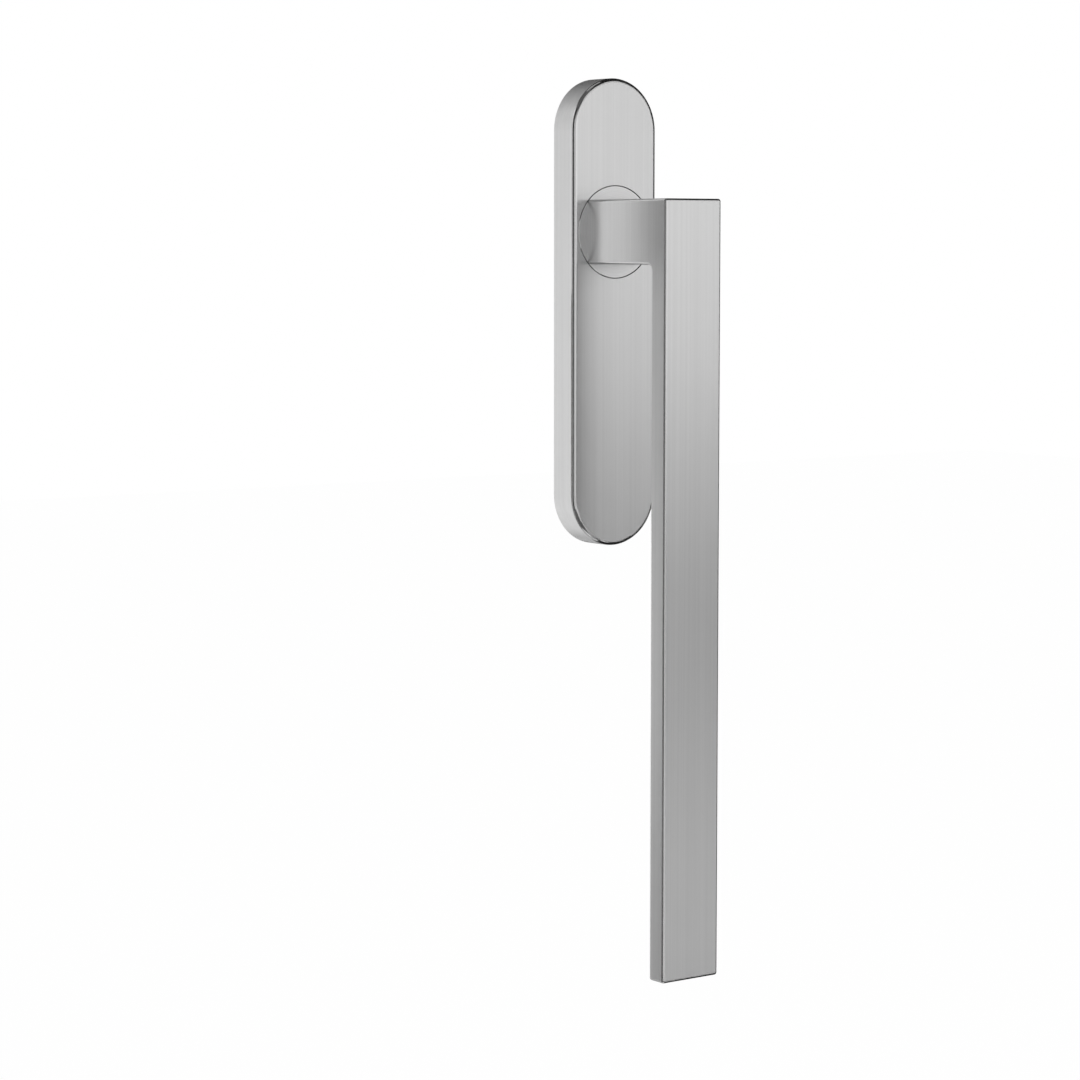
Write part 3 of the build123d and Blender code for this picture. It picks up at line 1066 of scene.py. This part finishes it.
class DOORHANDLE_OT_fixing_screws(bpy.types.Operator):
    """Make the two screws into the door with their threads"""

    bl_idname = "door_handle.fixing_screws"
    bl_label = "Fixing screws"

    def execute(self, context):
        sizes = context.scene.fixing_screw_sizes
        plated = zinc_plated_steel(context.scene.handle_finishes)
        low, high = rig.box(FIXING_SCREWS[0])
        next_low, next_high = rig.box(FIXING_SCREWS[1])
        middle = (low + high) / 2
        next_middle = (next_low + next_high) / 2
        screws = plain_mesh(
            "fixing_screws_threaded",
            screw_tree(plated),
            {
                "Length": high.y - low.y,
                "Head radius": (high.x - low.x) / 2,
                "Shank radius": sizes.shank_diameter / 2,
                "Thread radius": sizes.thread_diameter / 2,
                "Root radius": sizes.root_diameter / 2,
                "Pitch": sizes.pitch,
                "Thread length": sizes.thread_length,
                "Socket radius": sizes.key_width / sqrt(3),
                "Socket depth": sizes.socket_depth,
                "Faces around": sizes.around,
                "First head": (middle.x, low.y, middle.z),
                "Step": (0.0, 0.0, next_middle.z - middle.z),
            },
        )
        if not screws.data.polygons:
            self.report({"ERROR"}, "The screws' node tree made no faces")
            raise RuntimeError("the screws' node tree made no faces")
        screws.data.shade_smooth()
        screws.data.set_sharp_from_angle(angle=radians(35))
        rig.ride(screws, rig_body(FIXING_SCREWS[0]))
        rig.replaces(screws, *FIXING_SCREWS)
        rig.slot(screws, "zinc_plated_steel")
        return {"FINISHED"}


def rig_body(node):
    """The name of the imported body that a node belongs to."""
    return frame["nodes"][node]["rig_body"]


def reflection_card(name, foot, top, foot_tone, top_tone):
    """A card that only reflections show, as is set round bright steel to give its edges contrast.
    It spans a row of points at its foot and a row at its top, and shades from tone to tone."""
    count = len(foot)
    faces = [(n, n + 1, count + n + 1, count + n) for n in range(count - 1)]
    sheet = bpy.data.meshes.new(name)
    sheet.from_pydata([*foot, *top], [], faces)
    tones = sheet.attributes.new("tone", "FLOAT", "POINT")
    tones.data.foreach_set("value", [foot_tone] * count + [top_tone] * count)
    sheet.materials.append(card_paint())
    card = new_object(name, sheet)
    for rays in ("camera", "diffuse", "transmission", "volume_scatter", "shadow"):
        setattr(card, "visible_" + rays, False)
    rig.stage(card)


def card_paint():
    """Matt card, painted in the greys that its points carry."""
    if "Card, matt grey" in bpy.data.materials:
        return bpy.data.materials["Card, matt grey"]
    material = bpy.data.materials.new("Card, matt grey")
    tree = empty_tree(material)
    tone = add_node(tree, "ShaderNodeAttribute", {"attribute_name": "tone"})
    face = add_node(tree, "ShaderNodeBsdfDiffuse", inputs={"Color": tone.outputs["Color"]})
    add_node(tree, "ShaderNodeOutputMaterial", inputs={"Surface": face.outputs[0]})
    return material


def bent_row(radius, start, end, height):
    """A row of points at one height round the handle, from one bearing to another."""
    bearings = [radians(start + (end - start) * n / BENDS) for n in range(BENDS + 1)]
    return [(radius * cos(b), radius * sin(b), height) for b in bearings]


def soft_lamp(name, size, power, place, target):
    """A square area lamp at a place, facing a target, that reflections don't show."""
    data = bpy.data.lights.new(name, "AREA")
    data.shape = "SQUARE"
    data.size = size
    data.energy = power
    lamp = new_object(name, data)
    lamp.location = place
    aim = target - lamp.location
    lamp.rotation_euler = aim.to_track_quat("-Z", "Y").to_euler()
    lamp.visible_glossy = False


class DOORHANDLE_OT_studio(bpy.types.Operator):
    """Set the white floor and surroundings, the soft lamp, the reflection cards and the camera"""

    bl_idname = "door_handle.studio"
    bl_label = "Studio"

    def execute(self, context):
        studio = context.scene.handle_studio
        scene = context.scene
        scene.view_settings.view_transform = "Standard"
        low, high = cad_box
        centre = (low + high) / 2

        height = low.z - studio.floor_drop
        signs = ((-1, -1), (1, -1), (1, 1), (-1, 1))
        corners = [(FLOOR_HALF * x, FLOOR_HALF * y, height) for x, y in signs]
        sheet = bpy.data.meshes.new("studio_floor")
        sheet.from_pydata(corners, [], [(0, 1, 2, 3)])
        sheet.materials.append(self.floor_paint(studio))
        floor = new_object("studio_floor", sheet)
        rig.stage(floor)

        self.surroundings(scene, studio)
        soft_lamp("key_lamp", KEY_SIZE, studio.key_power, KEY_PLACE, centre)
        for name, card in CURVED_CARDS.items():
            foot_radius, top_radius, start, end, lowest, highest, *tones = card
            foot = bent_row(foot_radius, start, end, lowest)
            top = bent_row(top_radius, start, end, highest)
            reflection_card(name, foot, top, *map(studio.tone, tones))
        for name, (corner, length, rise, *tones) in FLAT_CARDS.items():
            foot = [Vector(corner), Vector(corner) + Vector(length)]
            top = [point + Vector(rise) for point in foot]
            reflection_card(name, foot, top, *map(studio.tone, tones))

        data = bpy.data.cameras.new("camera")
        data.sensor_width = SENSOR_WIDTH
        data.lens = studio.lens
        camera = new_object("camera", data)
        camera.location = studio.camera_place
        camera.rotation_euler = (radians(90) - studio.camera_dip, 0, -studio.camera_turn)
        scene.camera = camera
        return {"FINISHED"}

    def floor_paint(self, studio):
        """White paper that keeps the handle's shadow and runs into the white backdrop."""
        material = bpy.data.materials.new("Paper, matt white")
        tree = empty_tree(material)
        paper = add_node(
            tree, "ShaderNodeBsdfDiffuse", inputs={"Color": (*studio.floor_colour, 1)}
        )
        white = add_node(tree, "ShaderNodeEmission", inputs={"Strength": 1.0})
        seen = self.seen_directly(tree, FLOOR_WHITE)
        mixed = add_node(
            tree,
            "ShaderNodeMixShader",
            inputs={0: seen, 1: paper.outputs[0], 2: white.outputs[0]},
        )
        add_node(tree, "ShaderNodeOutputMaterial", inputs={"Surface": mixed.outputs[0]})
        return material

    def seen_directly(self, tree, share):
        """This share for rays from the camera, a reflection or a transparent piece, and else 0."""
        rays = add_node(tree, "ShaderNodeLightPath").outputs
        either = add_node(
            tree,
            "ShaderNodeMath",
            {"operation": "MAXIMUM"},
            {0: rays["Is Camera Ray"], 1: rays["Is Glossy Ray"]},
        )
        any_of_them = add_node(
            tree,
            "ShaderNodeMath",
            {"operation": "MAXIMUM"},
            {0: either.outputs[0], 1: rays["Is Transmission Ray"]},
        )
        return add_node(
            tree,
            "ShaderNodeMath",
            {"operation": "MULTIPLY"},
            {0: any_of_them.outputs[0], 1: share},
        ).outputs[0]

    def surroundings(self, scene, studio):
        """White all round where it is seen, and a softer level where it only lights."""
        world = scene.world or bpy.data.worlds.new("Studio")
        scene.world = world
        tree = empty_tree(world)
        level = add_node(
            tree,
            "ShaderNodeMix",
            inputs={0: self.seen_directly(tree, 1.0), 2: studio.world_strength, 3: 1.0},
        )
        light = add_node(
            tree,
            "ShaderNodeBackground",
            inputs={"Color": (1, 1, 1, 1), "Strength": level.outputs[0]},
        )
        add_node(tree, "ShaderNodeOutputWorld", inputs={"Surface": light.outputs[0]})


OPERATORS = (
    DOORHANDLE_OT_satin_steel,
    DOORHANDLE_OT_carrier,
    DOORHANDLE_OT_bearing,
    DOORHANDLE_OT_hardened_parts,
    DOORHANDLE_OT_plated_parts,
    DOORHANDLE_OT_set_screws,
    DOORHANDLE_OT_fixing_screws,
    DOORHANDLE_OT_studio,
)


class DOORHANDLE_PT_sidebar(bpy.types.Panel):
    """Settings and steps of the door handle"""

    bl_idname = "DOORHANDLE_PT_sidebar"
    bl_label = "Lift and slide door handle"
    bl_space_type = "VIEW_3D"
    bl_region_type = "UI"
    bl_category = "Door handle"

    def draw(self, context):
        for group in SETTINGS:
            settings = getattr(context.scene, group)
            box = self.layout.box()
            for name in settings.bl_rna.properties.keys():
                if name not in ("rna_type", "name"):
                    box.prop(settings, name)
        for step in OPERATORS:
            self.layout.operator(step.bl_idname)


SETTINGS = {
    "handle_finishes": HandleFinishes,
    "fixing_screw_sizes": FixingScrewSizes,
    "handle_studio": StudioSettings,
}


def register():
    for group in SETTINGS.values():
        bpy.utils.register_class(group)
    for name, group in SETTINGS.items():
        setattr(bpy.types.Scene, name, PointerProperty(type=group))
    for step in OPERATORS:
        bpy.utils.register_class(step)
    bpy.utils.register_class(DOORHANDLE_PT_sidebar)


def unregister():
    bpy.utils.unregister_class(DOORHANDLE_PT_sidebar)
    for step in reversed(OPERATORS):
        bpy.utils.unregister_class(step)
    for name, group in SETTINGS.items():
        delattr(bpy.types.Scene, name)
        bpy.utils.unregister_class(group)


def main():
    register()
    bpy.ops.door_handle.satin_steel()
    bpy.ops.door_handle.carrier()
    bpy.ops.door_handle.bearing()
    bpy.ops.door_handle.hardened_parts()
    bpy.ops.door_handle.plated_parts()
    bpy.ops.door_handle.set_screws()
    bpy.ops.door_handle.fixing_screws()
    bpy.ops.door_handle.studio()
    boxes = {"cad": cad_box, "scene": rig.bounds()}
    with open("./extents.json", "w") as file:
        json.dump({name: [list(corner) for corner in box] for name, box in boxes.items()}, file)


if __name__ == "__main__":
    main()
